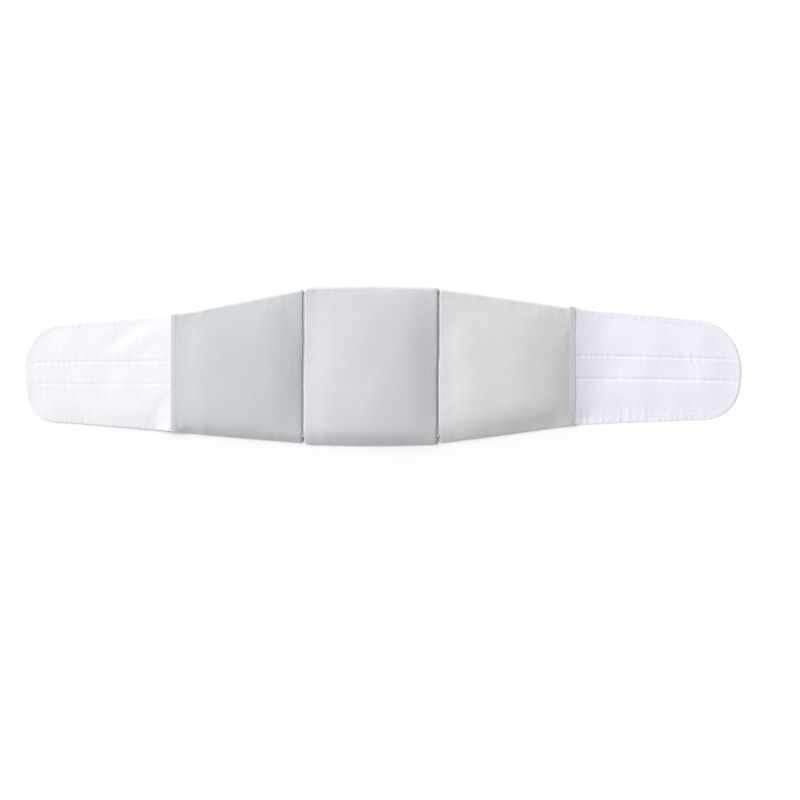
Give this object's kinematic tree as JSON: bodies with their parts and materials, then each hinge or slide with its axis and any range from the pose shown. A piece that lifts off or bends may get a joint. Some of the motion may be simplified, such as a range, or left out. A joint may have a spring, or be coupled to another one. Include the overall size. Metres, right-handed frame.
{
  "type": "lumbar support belt",
  "caption": "Padded belt that wraps and supports the lower back, with a tall middle panel, tapering wings and brushed fastening flaps with round tips.",
  "frame": {"origin": "middle of the belt's length and height, on the surface that it lies on", "axes": "+X along the belt towards the longer flap, +Y up the belt's height as worn, +Z out of its outer face"},
  "size_m": [1.0014, 0.2238, 0.016],
  "materials": {
    "cover_cloth": "smooth, finely woven, faintly glossy light grey cloth",
    "brushed_loop_cloth": "soft matt white brushed loop cloth"
  },
  "bodies": {
    "root": {"left_flap": "brushed_loop_cloth", "left_hem": "cover_cloth", "left_wing_panel": "cover_cloth", "left_seam_web": "cover_cloth", "middle_panel": "cover_cloth", "right_seam_web": "cover_cloth", "right_wing_panel": "cover_cloth", "right_hem": "cover_cloth", "right_flap": "brushed_loop_cloth"}
  },
  "joints": []
}
